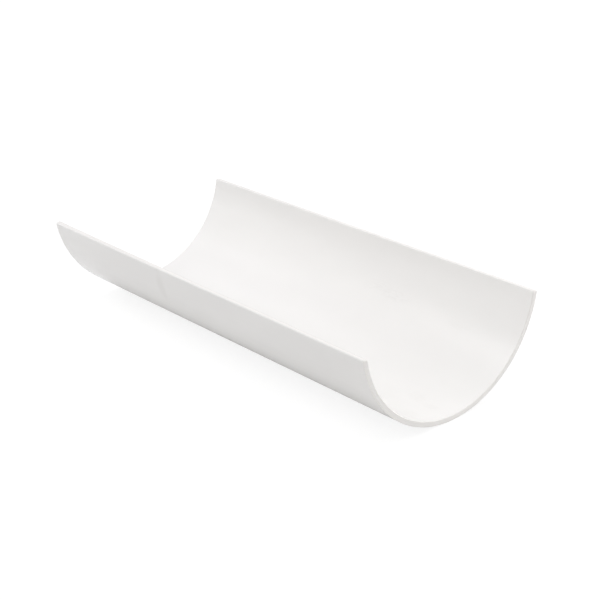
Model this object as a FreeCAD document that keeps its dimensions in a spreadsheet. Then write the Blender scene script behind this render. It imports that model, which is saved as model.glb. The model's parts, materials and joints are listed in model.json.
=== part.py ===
import FreeCAD, Part
import os

import Sketcher

# A length of half-round eaves gutter, lying open side up. Millimetres.
# X runs along the gutter, Y across it and Z up. The origin is under the middle of the
# length, on the line where the trough touches the surface that it lies on.

NODE_NAME = "gutter_trough"

# Name, value and meaning of each driving size.
DRIVING_SIZES = [
    ("gutter_length", 240.0, "length between the two sawn ends"),
    ("gutter_width", 112.0, "width over the outer edges of the two rims"),
    ("gutter_depth", 48.0, "height of those edges above the bottom of the trough"),
    ("wall_thickness", 2.7, "thickness of the wall, the same all round the section"),
    ("rim_edge_radius", 0.5, "rounding of the long edges of each rim"),
    ("end_edge_chamfer", 0.3, "burr taken off the edges of each sawn end"),
]


def start(curve):
    """A curve's start, as Sketcher's rules name it."""
    return curve, 1


def end(curve):
    """A curve's end, as Sketcher's rules name it."""
    return curve, 2


def centre(curve):
    """An arc's centre, as Sketcher's rules name it."""
    return curve, 3


def sketch_origin():
    """The sketch's own origin, as Sketcher's rules name it."""
    return -1, 1


def make_sheet(document):
    """Put the driving sizes in a spreadsheet, each in an aliased cell beside its meaning."""
    sheet = document.addObject("Spreadsheet::Sheet", "sizes")
    for row, (alias, value, meaning) in enumerate(DRIVING_SIZES, start=1):
        sheet.set(f"A{row}", meaning)
        sheet.set(f"B{row}", str(value))
        sheet.setAlias(f"B{row}", alias)
    document.recompute()
    return sheet


def origin_plane(body, role):
    """Return the body's own origin plane that has this role."""
    for feature in body.Origin.OriginFeatures:
        if feature.Role == role:
            return feature
    raise RuntimeError(f"{body.Label} has no {role}")


def dimension(sketch, alias, *rule):
    """Add a dimension to the sketch and bind it to the sheet's cell of the same name."""
    index = sketch.addConstraint(Sketcher.Constraint(*rule))
    sketch.renameConstraint(index, alias)
    sketch.setExpression(f"Constraints.{alias}", f"sizes.{alias}")


def draw_section(body, sheet):
    """Sketch the wall: two concentric arcs, joined at each rim by a line square to the wall.

    The outer arc passes through the sketch's origin with its centre straight above it, so
    the width and the depth settle its radius. The rims stop short of the full half circle.
    """
    half_width = sheet.gutter_width / 2
    outer_radius = (half_width**2 + sheet.gutter_depth**2) / (2 * sheet.gutter_depth)
    arc_centre = FreeCAD.Vector(0, outer_radius, 0)
    outer_points = [
        FreeCAD.Vector(-half_width, sheet.gutter_depth, 0),
        FreeCAD.Vector(0, 0, 0),
        FreeCAD.Vector(half_width, sheet.gutter_depth, 0),
    ]
    inner_points = [
        point + (arc_centre - point).normalize() * sheet.wall_thickness for point in outer_points
    ]

    sketch = body.newObject("Sketcher::SketchObject", "trough_section")
    sketch.AttachmentSupport = (origin_plane(body, "YZ_Plane"), [""])
    sketch.MapMode = "FlatFace"
    outer = sketch.addGeometry(Part.Arc(*outer_points))
    inner = sketch.addGeometry(Part.Arc(*inner_points))
    near_rim = sketch.addGeometry(Part.LineSegment(outer_points[0], inner_points[0]))
    far_rim = sketch.addGeometry(Part.LineSegment(inner_points[-1], outer_points[-1]))

    for rule in (
        ("Coincident", *start(outer), *start(near_rim)),
        ("Coincident", *end(near_rim), *start(inner)),
        ("Coincident", *end(inner), *start(far_rim)),
        ("Coincident", *end(far_rim), *end(outer)),
        ("Coincident", *centre(inner), *centre(outer)),
        ("Horizontal", *start(outer), *end(outer)),
        ("Vertical", *sketch_origin(), *centre(outer)),
        ("PointOnObject", *sketch_origin(), outer),
        ("PointOnObject", *centre(outer), near_rim),
        ("PointOnObject", *centre(outer), far_rim),
    ):
        sketch.addConstraint(Sketcher.Constraint(*rule))

    dimension(sketch, "gutter_width", "DistanceX", *start(outer), *end(outer), sheet.gutter_width)
    dimension(sketch, "gutter_depth", "DistanceY", *sketch_origin(), *end(outer), sheet.gutter_depth)
    dimension(sketch, "wall_thickness", "Distance", near_rim, sheet.wall_thickness)
    return sketch


def extrude(body, section):
    """Pad the section to the gutter's length, half to each side of the section's plane."""
    pad = body.newObject("PartDesign::Pad", "extruded_length")
    pad.Profile = section
    pad.SideType = "Symmetric"
    pad.setExpression("Length", "sizes.gutter_length")
    return pad


def runs_along(edge, sheet):
    """Whether an edge runs the length of the gutter. Any other lies in one of its ends."""
    return edge.BoundBox.XLength > sheet.gutter_length / 2


def edge_names(shape, wanted):
    """The names, Edge1 and up, of the shape's edges for which wanted(edge) is true."""
    return [f"Edge{number}" for number, edge in enumerate(shape.Edges, start=1) if wanted(edge)]


def round_rims(body, extrusion, sheet):
    """Round the long edges, which are those of the two rims."""
    rounding = body.newObject("PartDesign::Fillet", "rounded_rims")
    rounding.Base = (extrusion, edge_names(extrusion.Shape, lambda edge: runs_along(edge, sheet)))
    rounding.setExpression("Radius", "sizes.rim_edge_radius")
    return rounding


def deburr_ends(body, rounding, sheet):
    """Chamfer the edges all round both sawn ends."""
    chamfer = body.newObject("PartDesign::Chamfer", "deburred_ends")
    chamfer.Base = (rounding, edge_names(rounding.Shape, lambda edge: not runs_along(edge, sheet)))
    chamfer.setExpression("Size", "sizes.end_edge_chamfer")
    return chamfer


def build_trough(document, sheet):
    """Build the gutter, which is one extruded piece."""
    body = document.addObject("PartDesign::Body", NODE_NAME)
    body.Label = NODE_NAME
    body.Placement = FreeCAD.Placement()
    extrusion = extrude(body, draw_section(body, sheet))
    document.recompute()
    rounding = round_rims(body, extrusion, sheet)
    document.recompute()
    deburr_ends(body, rounding, sheet)
    document.recompute()
    return body


def check(document, bodies):
    """Stop on an object that failed to recompute, and on a body without one sound solid."""
    for item in document.Objects:
        if "Invalid" in item.State or "Error" in item.State:
            raise RuntimeError(f"{item.Label} failed: {item.State}")
    for body in bodies:
        if body.Shape.isNull() or not body.Shape.isValid() or len(body.Shape.Solids) != 1:
            raise RuntimeError(f"{body.Label} isn't one sound solid")


def write_parts(bodies):
    """Write each body to a STEP file in parts/, named after the body."""
    os.makedirs("parts", exist_ok=True)
    for body in bodies:
        body.Shape.exportStep(f"parts/{body.Label}.step")
        box = body.Shape.BoundBox
        size = f"{box.XLength:.2f} x {box.YLength:.2f} x {box.ZLength:.2f} mm"
        print(f"{body.Label}: {size}, {body.Shape.Volume:.0f} mm3")


def main():
    document = FreeCAD.newDocument("gutter_section")
    sheet = make_sheet(document)
    bodies = [build_trough(document, sheet)]
    check(document, bodies)
    write_parts(bodies)


main()
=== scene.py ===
"""A short length of white half-round gutter, lying open side up in a pale studio.

Lengths are in metres. X runs along the gutter, Y across it and Z up.
"""

import json
import math

import bpy
from bpy.props import FloatProperty, FloatVectorProperty, PointerProperty
from mathutils import Matrix, Vector, noise


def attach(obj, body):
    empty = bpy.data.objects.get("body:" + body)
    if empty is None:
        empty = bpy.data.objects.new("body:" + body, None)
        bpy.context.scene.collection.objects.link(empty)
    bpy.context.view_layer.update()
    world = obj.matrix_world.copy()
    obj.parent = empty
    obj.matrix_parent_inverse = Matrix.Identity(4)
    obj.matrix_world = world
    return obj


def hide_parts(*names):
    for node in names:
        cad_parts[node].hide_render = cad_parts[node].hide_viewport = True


bl_info = {
    "name": "Half-round gutter section",
    "version": (1, 0, 0),
    "blender": (4, 5, 0),
    "location": "View3D > Sidebar > Gutter",
    "description": "Builds a short length of white half-round gutter and a studio to show it in",
    "category": "Object",
}

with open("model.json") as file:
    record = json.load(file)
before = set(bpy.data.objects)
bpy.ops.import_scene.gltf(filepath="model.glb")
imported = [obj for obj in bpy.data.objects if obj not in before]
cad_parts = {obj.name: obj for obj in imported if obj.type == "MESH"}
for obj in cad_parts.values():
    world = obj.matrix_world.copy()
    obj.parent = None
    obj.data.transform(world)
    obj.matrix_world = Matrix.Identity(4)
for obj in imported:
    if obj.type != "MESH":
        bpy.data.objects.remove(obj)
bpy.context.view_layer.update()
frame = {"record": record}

MM = 0.001
NODE = "gutter_trough"
BODY = "root"
PVC_IOR = 1.53

mounts = {mount["name"]: mount for mount in frame["record"]["mounts"]}
end_mount = mounts["right_end"]
rim_mount = mounts["far_rim"]
seat_mount = mounts["bracket_seat"]


class GutterSizes(bpy.types.PropertyGroup):
    length: FloatProperty(
        name="Length",
        description="Distance between the two sawn ends",
        default=2 * end_mount["pos_m"][0],
        unit="LENGTH",
    )
    outer_radius: FloatProperty(
        name="Outer radius",
        description="Radius of the outside of the wall",
        default=seat_mount["dims"]["r_mm"] * MM,
        unit="LENGTH",
    )
    wall: FloatProperty(
        name="Wall",
        description="Thickness of the wall",
        default=2 * end_mount["pos_m"][2],
        unit="LENGTH",
    )
    rim_angle: FloatProperty(
        name="Rim angle",
        description="How far round the section each rim stands from the bottom",
        default=math.atan2(rim_mount["axis"][2], rim_mount["axis"][1]),
        unit="ROTATION",
    )
    rim_rounding: FloatProperty(
        name="Rim rounding",
        description="Radius of the long edges of each rim",
        default=0.5 * MM,
        unit="LENGTH",
    )
    near_rim_lean: FloatProperty(
        name="Near rim lean",
        description="Most that the near rim's trimmed face leans inward",
        default=math.radians(18),
        unit="ROTATION",
    )
    deburring: FloatProperty(
        name="Deburring",
        description="Average width of the edge scraped off round each sawn end",
        default=0.3 * MM,
        unit="LENGTH",
    )


class GutterFinish(bpy.types.PropertyGroup):
    skin_colour: FloatVectorProperty(
        name="Skin",
        description="Colour of the smooth extruded plastic",
        subtype="COLOR",
        default=(0.879, 0.867, 0.854),
    )
    sawn_colour: FloatVectorProperty(
        name="Sawn ends",
        description="Colour of the plastic where the saw cut it",
        subtype="COLOR",
        default=(0.875, 0.853, 0.838),
    )
    # Also the colour that the wide patches of painted shade by the right end darken towards.
    grime_and_shade_colour: FloatVectorProperty(
        name="Grime",
        description="Colour that rubs and fingers leave on the plastic",
        subtype="COLOR",
        default=(0.45, 0.43, 0.40),
    )
    skin_roughness: FloatProperty(
        name="Skin roughness",
        description="How dull the extruded plastic is",
        default=0.235,
        min=0.0,
        max=1.0,
        subtype="FACTOR",
    )
    sawn_roughness: FloatProperty(
        name="Sawn roughness",
        description="How dull the sawn ends are",
        default=0.62,
        min=0.0,
        max=1.0,
        subtype="FACTOR",
    )


class StudioLook(bpy.types.PropertyGroup):
    floor_colour: FloatVectorProperty(
        name="Floor",
        description="Colour of the floor under the gutter",
        subtype="COLOR",
        default=(0.9, 0.9, 0.9),
    )
    floor_white: FloatProperty(
        name="Floor white",
        description="Even white that the floor near the gutter shows on top of the light it catches",
        default=0.86,
        min=0.0,
        max=1.0,
        subtype="FACTOR",
    )
    floor_shadow: FloatProperty(
        name="Floor shadow",
        description="Share of the light on the floor that shows, and so how dark the shadow is",
        default=0.2,
        min=0.0,
        max=1.0,
        subtype="FACTOR",
    )
    surround: FloatProperty(
        name="Surround",
        description="Strength of the even light from all round",
        default=0.348,
        min=0.0,
    )
    camera_place: FloatVectorProperty(
        name="Camera",
        description="Where the camera stands",
        subtype="TRANSLATION",
        unit="LENGTH",
        default=(0.495041, -0.41227, 0.292351),
    )
    camera_turn: FloatVectorProperty(
        name="Camera turn",
        description="Turn about the camera's own X, the upright and its own line of sight",
        subtype="EULER",
        default=(math.radians(67.29355), math.radians(-1.13851), math.radians(49.3163)),
    )
    camera_lens: FloatProperty(
        name="Lens",
        description="Focal length in millimetres on a 36 mm wide sensor",
        default=82.236,
        min=1.0,
    )


# ---------------------------------------------------------------- the trough


def arc_point(sizes, distance, angle):
    """The point of the section this far from the arcs' centre, at this angle from straight down."""
    return distance * math.sin(angle), sizes.outer_radius - distance * math.cos(angle)


def rim_edge(sizes, side, lean, steps):
    """The rounded long edge of the far rim, outside for side 1 and inside for side -1.

    The rim's face leans inward by this much, about its outer corner.
    """
    rounding = sizes.rim_rounding
    wall_face = sizes.outer_radius if side > 0 else sizes.outer_radius - sizes.wall
    distance = wall_face - side * rounding
    face_heading = sizes.rim_angle + lean
    face_offset = -sizes.outer_radius * math.sin(lean)
    angle = face_heading + math.asin((face_offset - rounding) / distance)
    centre = arc_point(sizes, distance, angle)
    wall_heading = angle - side * math.pi / 2
    points = []
    for step in range(1, steps + 1):
        heading = wall_heading + (face_heading - wall_heading) * step / steps
        out = math.cos(heading), math.sin(heading)
        points.append((centre[0] + rounding * out[0], centre[1] + rounding * out[1], *out))
    return angle, points


def rail(sizes, side, lean, around, steps):
    """One face of the wall from near rim to far rim, as points (y, z) with their outward normals."""
    wall_face = sizes.outer_radius if side > 0 else sizes.outer_radius - sizes.wall
    near_reach, near_edge = rim_edge(sizes, side, lean, steps)
    far_reach, far_edge = rim_edge(sizes, side, 0.0, steps)
    arc = []
    for step in range(around + 1):
        angle = (near_reach + far_reach) * step / around - near_reach
        y, z = arc_point(sizes, wall_face, angle)
        arc.append((y, z, side * math.sin(angle), -side * math.cos(angle)))
    return [(-y, z, -ny, nz) for y, z, ny, nz in reversed(near_edge)] + arc + far_edge


def near_lean(sizes, x):
    """How far the near rim's trimmed face leans inward here; the knife rocked over along its run."""
    settling, ripple, unevenness = 60 * MM, 35 * MM, 0.06
    run = x + sizes.length / 2
    wander = noise.noise(Vector((x, 0, 0)) / ripple)
    return sizes.near_rim_lean * (1 + unevenness * wander) * (1 - math.exp(-run / settling))


def section(sizes, x, around, steps):
    """The closed outline of the wall here: outside from near rim to far rim, then inside and back."""
    lean = near_lean(sizes, x)
    return rail(sizes, 1, lean, around, steps) + rail(sizes, -1, lean, around, steps)[::-1]


def scraped_width(sizes, x, y, z):
    """Width of the scraped edge here; a hand tool never takes off quite the same all round."""
    ripple, unevenness = 9 * MM, 0.3
    wander = noise.noise(Vector((x, y, z)) / ripple)
    return sizes.deburring * (1 + unevenness * wander)


def build_trough_mesh(sizes):
    """The whole gutter as one closed mesh; sawn faces and trimmed rims take the second material."""
    around, along, edge_steps = 192, 96, 6
    half = sizes.length / 2

    rings = []
    for end in (-1, 1):
        face_ring, wall_ring = [], []
        for y, z, ny, nz in section(sizes, end * half, around, edge_steps):
            width = scraped_width(sizes, end * half, y, z)
            face_ring.append((end * half, y - width * ny, z - width * nz))
            wall_ring.append((end * (half - width), y, z))
        rings.append([face_ring, wall_ring])
    left, right = rings
    count = len(left[0])
    stations = [left[0], left[1]]
    straight = half - 2 * sizes.deburring
    for step in range(along + 1):
        x = straight * (2 * step / along - 1)
        stations.append([(x, y, z) for y, z, ny, nz in section(sizes, x, around, edge_steps)])
    stations += [right[1], right[0]]
    vertices = [point for station in stations for point in station]

    rail_length = count // 2
    faces = []
    sawn = []
    for ring in range(len(stations) - 1):
        here, there = ring * count, (ring + 1) * count
        for spot in range(count):
            after = (spot + 1) % count
            faces.append((here + spot, here + after, there + after, there + spot))
            at_end = ring in (0, len(stations) - 2)
            on_rim = spot in (rail_length - 1, count - 1)
            sawn.append(at_end or on_rim)

    for ring, facing_left in ((0, True), (len(stations) - 1, False)):
        first = ring * count
        for spot in range(rail_length - 1):
            outside, inside = first + spot, first + count - 1 - spot
            face = (outside, outside + 1, inside - 1, inside)
            faces.append(face[::-1] if facing_left else face)
            sawn.append(True)

    mesh = bpy.data.meshes.new("white_gutter_trough")
    mesh.from_pydata(vertices, [], faces)
    mesh.update()
    for polygon, cut in zip(mesh.polygons, sawn):
        polygon.use_smooth = True
        polygon.material_index = int(cut)
    return mesh


# ---------------------------------------------------------------- the plastic


def add(tree, kind, inputs=None, **settings):
    """Add a node with these settings; each input is a value or the socket that feeds it."""
    node = tree.nodes.new(kind)
    for name, value in settings.items():
        setattr(node, name, value)
    for key, value in (inputs or {}).items():
        if isinstance(value, bpy.types.NodeSocket):
            tree.links.new(value, node.inputs[key])
        else:
            node.inputs[key].default_value = value
    return node


def calc(tree, operation, *values):
    """Output of a Math node on these values."""
    return add(tree, "ShaderNodeMath", dict(enumerate(values)), operation=operation).outputs[0]


def blend(tree, share, one, two):
    """Output of a Mix node between two numbers."""
    node = add(tree, "ShaderNodeMix", {0: share, 2: one, 3: two}, data_type="FLOAT")
    return node.outputs[0]


def blend_colour(tree, share, one, two):
    """Output of a Mix node between two colours."""
    node = add(tree, "ShaderNodeMix", {0: share, 6: one, 7: two}, data_type="RGBA")
    return node.outputs[2]


def new_group(name, inputs, outputs):
    """A shader node group with these sockets, given as (name, kind) and, for inputs, a default."""
    tree = bpy.data.node_groups.new(name, "ShaderNodeTree")
    for label, kind, default in inputs:
        socket = tree.interface.new_socket(label, in_out="INPUT", socket_type="NodeSocket" + kind)
        if default is not None:
            socket.default_value = default
    for label, kind in outputs:
        tree.interface.new_socket(label, in_out="OUTPUT", socket_type="NodeSocket" + kind)
    entry = tree.nodes.new("NodeGroupInput")
    leave = tree.nodes.new("NodeGroupOutput")
    return tree, entry.outputs, leave.inputs


def socket_name(label):
    """The name of the group socket that this keyword stands for."""
    return label.replace("_", " ").capitalize()


def feed(tree, sockets, **values):
    """Link these values to the group's outputs of the same names."""
    for label, value in values.items():
        tree.links.new(value, sockets[socket_name(label)])


def unrolled_wall_group():
    """Where a point lies once the curved wall is rolled out flat, in millimetres."""
    tree, given, out = new_group(
        "unrolled_wall",
        [("Outer radius", "Float", 56.7), ("Wall", "Float", 2.7)],
        [("Position", "Vector"), ("Outside", "Float")],
    )
    place = add(tree, "ShaderNodeTexCoord").outputs["Object"]
    place = add(tree, "ShaderNodeVectorMath", {0: place, "Scale": 1 / MM}, operation="SCALE").outputs[0]
    axis = add(tree, "ShaderNodeSeparateXYZ", {0: place})
    drop = calc(tree, "SUBTRACT", given["Outer radius"], axis.outputs["Z"])
    angle = calc(tree, "ARCTAN2", axis.outputs["Y"], drop)
    girth = calc(tree, "MULTIPLY", angle, given["Outer radius"])
    squares = calc(tree, "MULTIPLY_ADD", drop, drop, calc(tree, "POWER", axis.outputs["Y"], 2.0))
    depth = calc(tree, "SUBTRACT", given["Outer radius"], calc(tree, "SQRT", squares))
    position = add(
        tree, "ShaderNodeCombineXYZ", {"X": axis.outputs["X"], "Y": girth, "Z": depth}
    ).outputs[0]
    outside = calc(tree, "LESS_THAN", depth, calc(tree, "DIVIDE", given["Wall"], 2.0))
    feed(tree, out, position=position, outside=outside)
    return tree


def mottle_group():
    """Slow cloudy unevenness, from -1 to 1, with its own patch length and width."""
    tree, given, out = new_group(
        "mottle",
        [("Position", "Vector", None), ("Patch", "Vector", (40.0, 20.0, 20.0))],
        [("Cloud", "Float")],
    )
    place = add(
        tree, "ShaderNodeVectorMath", {0: given["Position"], 1: given["Patch"]}, operation="DIVIDE"
    ).outputs[0]
    cloud = add(tree, "ShaderNodeTexNoise", {"Vector": place, "Scale": 1.0, "Detail": 3.0})
    centred = add(
        tree,
        "ShaderNodeMapRange",
        {"Value": cloud.outputs[0], "From Min": 0.3, "From Max": 0.7, "To Min": -1.0, "To Max": 1.0},
    ).outputs[0]
    feed(tree, out, cloud=centred)
    return tree


def smudge_and_shade_group():
    """One soft darker patch, broken up into grains of a given length and width; used for rubbed-in dirt
    and for painted shade.
    """
    tree, given, out = new_group(
        "smudge_and_shade",
        [
            ("Position", "Vector", None),
            ("Centre", "Vector", (0.0, 0.0, 0.0)),
            ("Half size", "Vector", (10.0, 10.0, 1.0)),
            ("Turn", "Float", 0.0),
            ("Grain", "Vector", (1.0, 1.0, 1.0)),
            ("Break up", "Float", 0.5),
        ],
        [("Mask", "Float")],
    )
    turn = add(tree, "ShaderNodeCombineXYZ", {"Z": given["Turn"]}).outputs[0]
    local = add(
        tree,
        "ShaderNodeMapping",
        {
            "Vector": given["Position"],
            "Location": given["Centre"],
            "Rotation": turn,
            "Scale": given["Half size"],
        },
        vector_type="TEXTURE",
    ).outputs[0]
    flat = add(
        tree, "ShaderNodeVectorMath", {0: local, 1: (1.0, 1.0, 0.0)}, operation="MULTIPLY"
    ).outputs[0]
    reach = add(tree, "ShaderNodeVectorMath", {0: flat}, operation="LENGTH").outputs["Value"]
    soft = add(
        tree,
        "ShaderNodeMapRange",
        {"Value": reach, "From Min": 1.0, "From Max": 0.1},
        interpolation_type="SMOOTHERSTEP",
    ).outputs[0]
    grains = add(
        tree, "ShaderNodeVectorMath", {0: given["Position"], 1: given["Grain"]}, operation="DIVIDE"
    ).outputs[0]
    broken = add(tree, "ShaderNodeTexNoise", {"Vector": grains, "Scale": 1.0, "Detail": 2.0}).outputs[0]
    broken = add(
        tree, "ShaderNodeMapRange", {"Value": broken, "From Min": 0.42, "From Max": 0.62}
    ).outputs[0]
    mask = calc(tree, "MULTIPLY", soft, blend(tree, given["Break up"], 1.0, broken))
    feed(tree, out, mask=mask)
    return tree


def specks_group():
    """Small scattered specks, as a mask."""
    tree, given, out = new_group(
        "specks",
        [("Position", "Vector", None), ("Spacing", "Float", 14.0), ("Radius", "Float", 0.5)],
        [("Mask", "Float")],
    )
    place = add(
        tree, "ShaderNodeVectorMath", {0: given["Position"], 1: given["Spacing"]}, operation="DIVIDE"
    ).outputs[0]
    cells = add(tree, "ShaderNodeTexVoronoi", {"Vector": place, "Scale": 1.0})
    distance = calc(tree, "MULTIPLY", cells.outputs["Distance"], given["Spacing"])
    chance = add(tree, "ShaderNodeSeparateColor", {0: cells.outputs["Color"]}).outputs[0]
    radius = calc(tree, "MULTIPLY", chance, given["Radius"])
    mask = add(
        tree,
        "ShaderNodeMapRange",
        {"Value": distance, "From Min": radius, "From Max": calc(tree, "MULTIPLY", radius, 0.3)},
        interpolation_type="SMOOTHSTEP",
    ).outputs[0]
    feed(tree, out, mask=mask)
    return tree


def fine_grain_group():
    """Height in millimetres of the fine skin that every surface of the plastic has."""
    tree, given, out = new_group(
        "fine_grain",
        [("Position", "Vector", None), ("Grain", "Float", 0.35), ("Height", "Float", 0.0005)],
        [("Relief", "Float")],
    )
    place = add(
        tree, "ShaderNodeVectorMath", {0: given["Position"], 1: given["Grain"]}, operation="DIVIDE"
    ).outputs[0]
    cloud = add(tree, "ShaderNodeTexNoise", {"Vector": place, "Scale": 1.0, "Detail": 2.0}).outputs[0]
    feed(tree, out, relief=calc(tree, "MULTIPLY", cloud, given["Height"]))
    return tree


def place_group(tree, groups, name, **inputs):
    """Put one of the shared groups into a material with its own values."""
    node = add(tree, "ShaderNodeGroup", node_tree=groups[name])
    for label, value in inputs.items():
        key = socket_name(label)
        if isinstance(value, bpy.types.NodeSocket):
            tree.links.new(value, node.inputs[key])
        else:
            node.inputs[key].default_value = value
    return node


def pvc(name, sizes, groups):
    """A new material holding the plain plastic's shader and the unrolled wall position."""
    material = bpy.data.materials.new(name)
    material.use_nodes = True
    tree = material.node_tree
    shader = tree.nodes["Principled BSDF"]
    shader.inputs["IOR"].default_value = PVC_IOR
    wall = place_group(
        tree, groups, "unrolled_wall", outer_radius=sizes.outer_radius / MM, wall=sizes.wall / MM
    )
    return material, tree, shader, wall.outputs


def relief(tree, shader, height):
    """Bump the shader by a height in millimetres."""
    bump = add(tree, "ShaderNodeBump", {"Height": height, "Strength": 1.0, "Distance": MM})
    tree.links.new(bump.outputs[0], shader.inputs["Normal"])


def smudges_and_shade(tree, groups, position, marks):
    """The darkest of several smudges and patches of painted shade; each mark is its strength and the
    patch group's inputs.
    """
    total = None
    for strength, values in marks:
        node = place_group(tree, groups, "smudge_and_shade", position=position, **values)
        mask = calc(tree, "MULTIPLY", node.outputs[0], strength)
        total = mask if total is None else calc(tree, "MAXIMUM", total, mask)
    return total


def extruded_pvc(sizes, finish, groups):
    """The smooth white skin that the die leaves, a little cloudy and handled, with painted shade in two
    wide faint patches by the right end.
    """
    material, tree, shader, wall = pvc("extruded_pvc", sizes, groups)
    position, outside = wall["Position"], wall["Outside"]
    speck_depth, cloud_depth, sheen_depth, mark_dullness = 0.05, 0.008, 0.02, 0.15
    draw_line_height, wave_height = 0.002, 0.008

    # Each mark is its strength, then its place and size on the unrolled wall in millimetres:
    # scuffs high on the far wall, smudges near the right end, and a wide patch of painted
    # shade low on the near wall there.
    inner_marks = smudges_and_shade(
        tree,
        groups,
        position,
        (
            (0.075, dict(centre=(39, 53, 0), half_size=(16, 5, 1), grain=(3, 1, 1), break_up=0.9)),
            (0.05, dict(centre=(26, 55, 0), half_size=(13, 6, 1), grain=(3, 0.9, 1), break_up=1.0)),
            (0.04, dict(centre=(84, 50, 0), half_size=(12, 4, 1), grain=(2, 1, 1), break_up=0.9)),
            (0.06, dict(centre=(96, 2, 0), half_size=(8, 7, 1), grain=(3, 3, 1), break_up=0.5)),
            (0.05, dict(centre=(108, -1, 0), half_size=(6, 4, 1), grain=(2, 2, 1), break_up=0.6)),
            # Wide faint patch: painted shade darkening the lower near wall inside by the right end.
            (0.05, dict(centre=(114, -30, 0), half_size=(30, 30, 1), grain=(9, 9, 9), break_up=0.3)),
        ),
    )
    # A darker streak across the outside, a smear under the near rim, and a wide patch of
    # painted shade low on the outside at the right end.
    outer_marks = smudges_and_shade(
        tree,
        groups,
        position,
        (
            (0.13, dict(centre=(-28.5, -68, 0), half_size=(5, 14, 1), turn=0.2, break_up=0.15)),
            (0.06, dict(centre=(108, -76.5, 0), half_size=(7, 3, 1), grain=(1.5, 1.5, 1), break_up=0.8)),
            # Wide faint patch: painted shade darkening the lower outside at the right end.
            (0.06, dict(centre=(118, -62, 0), half_size=(70, 34, 1), grain=(12, 9, 9), break_up=0.2)),
        ),
    )
    marks = blend(tree, outside, inner_marks, outer_marks)
    specks = place_group(tree, groups, "specks", position=position, spacing=13.0, radius=0.7).outputs[0]
    grime_and_shade = calc(tree, "MULTIPLY_ADD", specks, speck_depth, marks)

    cloud = place_group(tree, groups, "mottle", position=position, patch=(45, 16, 16)).outputs[0]
    skin = finish.skin_colour
    lighter = (*[(1 + cloud_depth) * part for part in skin], 1.0)
    darker = (*[(1 - cloud_depth) * part for part in skin], 1.0)
    tint = blend_colour(tree, calc(tree, "MULTIPLY_ADD", cloud, 0.5, 0.5), darker, lighter)
    # Specks and marks darken the skin towards the grime colour; the two wide marks by the right end are
    # painted shade.
    colour = blend_colour(tree, grime_and_shade, tint, (*finish.grime_and_shade_colour, 1.0))
    tree.links.new(colour, shader.inputs["Base Color"])

    sheen = place_group(tree, groups, "mottle", position=position, patch=(60, 5, 5)).outputs[0]
    roughness = calc(tree, "MULTIPLY_ADD", sheen, sheen_depth, finish.skin_roughness)
    roughness = calc(tree, "MULTIPLY_ADD", marks, mark_dullness, roughness)
    tree.links.new(roughness, shader.inputs["Roughness"])

    stretch = add(
        tree, "ShaderNodeVectorMath", {0: position, 1: (400.0, 1.2, 4.0)}, operation="DIVIDE"
    ).outputs[0]
    draw_lines = add(tree, "ShaderNodeTexNoise", {"Vector": stretch, "Scale": 1.0, "Detail": 3.0})
    grain = place_group(tree, groups, "fine_grain", position=position, grain=0.4, height=0.0006)
    wave = place_group(tree, groups, "mottle", position=position, patch=(30, 22, 22)).outputs[0]
    height = calc(tree, "MULTIPLY_ADD", draw_lines.outputs[0], draw_line_height, grain.outputs[0])
    height = calc(tree, "MULTIPLY_ADD", wave, wave_height, height)
    relief(tree, shader, height)
    return material


def sawn_pvc(sizes, finish, groups):
    """The duller face that the saw and the scraper leave at each end, and the knife on the rims."""
    material, tree, shader, wall = pvc("sawn_pvc", sizes, groups)
    position = wall["Position"]
    stroke_dirt, stroke_dullness, stroke_height = 0.10, 0.15, 0.02
    plain_dirt, cloud_dirt, stroke_mean = 0.02, 0.02, 0.07

    # The strokes are arcs about the middle of the saw's blade, which stood here, in millimetres.
    blade_centre = (0.0, 60.0, 240.0)
    place = add(tree, "ShaderNodeTexCoord").outputs["Object"]
    place = add(tree, "ShaderNodeVectorMath", {0: place, "Scale": 1 / MM}, operation="SCALE").outputs[0]
    place = add(
        tree, "ShaderNodeVectorMath", {0: place, 1: (0.0, 1.0, 1.0)}, operation="MULTIPLY"
    ).outputs[0]
    sweep = add(
        tree, "ShaderNodeVectorMath", {0: place, 1: blade_centre}, operation="DISTANCE"
    ).outputs["Value"]
    strokes = add(
        tree, "ShaderNodeTexNoise", {"W": sweep, "Scale": 2.2, "Detail": 3.0}, noise_dimensions="1D"
    ).outputs[0]

    cloud = place_group(tree, groups, "mottle", position=position, patch=(6, 6, 3)).outputs[0]
    shade = calc(tree, "MULTIPLY_ADD", cloud, cloud_dirt, plain_dirt)
    shade = calc(tree, "MULTIPLY_ADD", strokes, stroke_dirt, shade)
    colour = blend_colour(tree, shade, (*finish.sawn_colour, 1.0), (*finish.grime_and_shade_colour, 1.0))
    tree.links.new(colour, shader.inputs["Base Color"])
    smoothest = finish.sawn_roughness - stroke_mean
    roughness = calc(tree, "MULTIPLY_ADD", strokes, stroke_dullness, smoothest)
    tree.links.new(roughness, shader.inputs["Roughness"])

    grain = place_group(tree, groups, "fine_grain", position=position, grain=0.25, height=0.004)
    height = calc(tree, "MULTIPLY_ADD", strokes, stroke_height, grain.outputs[0])
    relief(tree, shader, height)
    return material


class GUTTER_OT_trough(bpy.types.Operator):
    """Build the trough and dress it in white plastic"""

    bl_idname = "gutter.trough"
    bl_label = "Trough"

    def execute(self, context):
        scene = context.scene
        sizes, finish = scene.gutter_sizes, scene.gutter_finish
        mesh = build_trough_mesh(sizes)
        trough = bpy.data.objects.new("white_gutter_trough", mesh)
        scene.collection.objects.link(trough)
        groups = {
            "unrolled_wall": unrolled_wall_group(),
            "mottle": mottle_group(),
            "smudge_and_shade": smudge_and_shade_group(),
            "specks": specks_group(),
            "fine_grain": fine_grain_group(),
        }
        mesh.materials.append(extruded_pvc(sizes, finish, groups))
        mesh.materials.append(sawn_pvc(sizes, finish, groups))
        mesh.set_sharp_from_angle(angle=math.radians(30))
        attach(trough, BODY)
        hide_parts(NODE)
        return {"FINISHED"}


# ---------------------------------------------------------------- the studio


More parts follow.
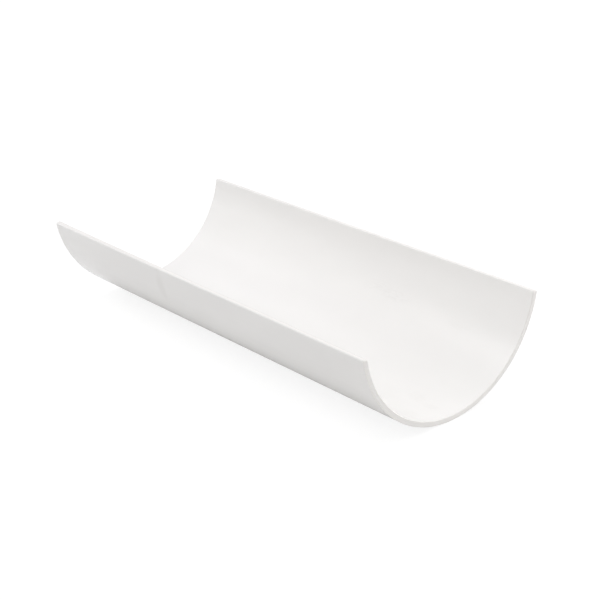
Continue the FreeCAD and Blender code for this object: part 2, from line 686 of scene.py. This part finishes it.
def build_floor(look):
    """A wide floor that keeps the gutter's shadow and turns fully white further off."""
    reach, white_starts, white_ends = 6.0, 0.4, 1.6
    mesh = bpy.data.meshes.new("studio_floor")
    mesh.from_pydata(
        [(-reach, -reach, 0), (reach, -reach, 0), (reach, reach, 0), (-reach, reach, 0)],
        [],
        [(0, 1, 2, 3)],
    )
    material = bpy.data.materials.new("studio_floor")
    material.use_nodes = True
    tree = material.node_tree
    tree.nodes.clear()
    path = add(tree, "ShaderNodeLightPath").outputs
    bounce = add(tree, "ShaderNodeBsdfDiffuse", {"Color": (*look.floor_colour, 1.0)}).outputs[0]
    mirrored = add(tree, "ShaderNodeBsdfDiffuse", {"Color": (1.0, 1.0, 1.0, 1.0)}).outputs[0]
    in_gloss = calc(tree, "MAXIMUM", path["Is Glossy Ray"], path["Is Transmission Ray"])
    unseen = add(tree, "ShaderNodeMixShader", {0: in_gloss, 1: bounce, 2: mirrored}).outputs[0]
    caught = [look.floor_shadow] * 3
    shadow = add(tree, "ShaderNodeBsdfDiffuse", {"Color": (*caught, 1.0)}).outputs[0]
    place = add(tree, "ShaderNodeTexCoord").outputs["Object"]
    away = add(tree, "ShaderNodeVectorMath", {0: place}, operation="LENGTH").outputs["Value"]
    glow = add(
        tree,
        "ShaderNodeMapRange",
        {
            "Value": away,
            "From Min": white_starts,
            "From Max": white_ends,
            "To Min": look.floor_white,
            "To Max": 1.0,
        },
    ).outputs[0]
    white = add(tree, "ShaderNodeEmission", {"Strength": glow}).outputs[0]
    shown = add(tree, "ShaderNodeAddShader", {0: shadow, 1: white}).outputs[0]
    surface = add(tree, "ShaderNodeMixShader", {0: path["Is Camera Ray"], 1: unseen, 2: shown})
    add(tree, "ShaderNodeOutputMaterial", {"Surface": surface.outputs[0]})
    mesh.materials.append(material)
    return bpy.data.objects.new("studio_floor", mesh)


def build_surround(look):
    """Even light from all round, white where the camera sees it."""
    world = bpy.data.worlds.new("surround")
    world.use_nodes = True
    tree = world.node_tree
    background = tree.nodes["Background"]
    background.inputs["Color"].default_value = (1.0, 1.0, 1.0, 1.0)
    path = add(tree, "ShaderNodeLightPath").outputs
    in_gloss = calc(tree, "MAXIMUM", path["Is Glossy Ray"], path["Is Transmission Ray"])
    seen = calc(tree, "MAXIMUM", path["Is Camera Ray"], in_gloss)
    strength = blend(tree, seen, look.surround, 1.0)
    tree.links.new(strength, background.inputs["Strength"])
    return world


def softbox(name, place, size, power, colour=(1.0, 1.0, 1.0)):
    """A square soft lamp that faces the gutter."""
    lamp = bpy.data.lights.new(name, "AREA")
    lamp.size = size
    lamp.energy = power
    lamp.color = colour
    holder = bpy.data.objects.new(name, lamp)
    holder.location = place
    holder.rotation_euler = Vector(place).to_track_quat("Z", "Y").to_euler()
    return holder


def build_camera(look):
    data = bpy.data.cameras.new("camera")
    data.lens = look.camera_lens
    data.clip_start = 0.01
    tilt, roll, heading = look.camera_turn
    camera = bpy.data.objects.new("camera", data)
    camera.matrix_world = (
        Matrix.Translation(look.camera_place)
        @ Matrix.Rotation(heading, 4, "Z")
        @ Matrix.Rotation(tilt, 4, "X")
        @ Matrix.Rotation(roll, 4, "Z")
    )
    return camera


class GUTTER_OT_studio(bpy.types.Operator):
    """Build the floor, the lights and the camera"""

    bl_idname = "gutter.studio"
    bl_label = "Studio"

    def execute(self, context):
        scene = context.scene
        look = scene.gutter_studio
        scene.view_settings.view_transform = "Standard"
        scene.world = build_surround(look)
        floor = build_floor(look)
        camera = build_camera(look)
        lamps = [
            softbox("key", (-0.188, -0.516, 1.198), 1.2, 9.1),
            softbox("fill", (0.287, 0.497, 0.401), 0.6, 2.55),
            softbox("low_right", (1.341, -0.488, 0.484), 0.5, 1.7, (1.0, 1.0, 0.92)),
            softbox("left", (-1.212, 0.0, 0.72), 0.9, 1.5, (0.89, 0.87, 1.0)),
            softbox("low_left", (-0.575, -0.268, 0.296), 0.4, 0.33),
        ]
        for item in [floor, camera] + lamps:
            scene.collection.objects.link(item)
        scene.camera = camera
        return {"FINISHED"}


class GUTTER_PT_sidebar(bpy.types.Panel):
    """Sizes, finish and studio, each with its button"""

    bl_label = "Gutter"
    bl_idname = "GUTTER_PT_sidebar"
    bl_space_type = "VIEW_3D"
    bl_region_type = "UI"
    bl_category = "Gutter"

    def draw(self, context):
        scene = context.scene
        shelves = (
            ((scene.gutter_sizes, scene.gutter_finish), GUTTER_OT_trough),
            ((scene.gutter_studio,), GUTTER_OT_studio),
        )
        for groups, operator in shelves:
            box = self.layout.box()
            for group in groups:
                for name in group.__annotations__:
                    box.prop(group, name)
            box.operator(operator.bl_idname)


CLASSES = (
    GutterSizes,
    GutterFinish,
    StudioLook,
    GUTTER_OT_trough,
    GUTTER_OT_studio,
    GUTTER_PT_sidebar,
)


def register():
    for item in CLASSES:
        bpy.utils.register_class(item)
    bpy.types.Scene.gutter_sizes = PointerProperty(type=GutterSizes)
    bpy.types.Scene.gutter_finish = PointerProperty(type=GutterFinish)
    bpy.types.Scene.gutter_studio = PointerProperty(type=StudioLook)


def unregister():
    del bpy.types.Scene.gutter_studio
    del bpy.types.Scene.gutter_finish
    del bpy.types.Scene.gutter_sizes
    for item in reversed(CLASSES):
        bpy.utils.unregister_class(item)


def main():
    register()
    bpy.ops.gutter.trough()
    bpy.ops.gutter.studio()


if __name__ == "__main__":
    main()
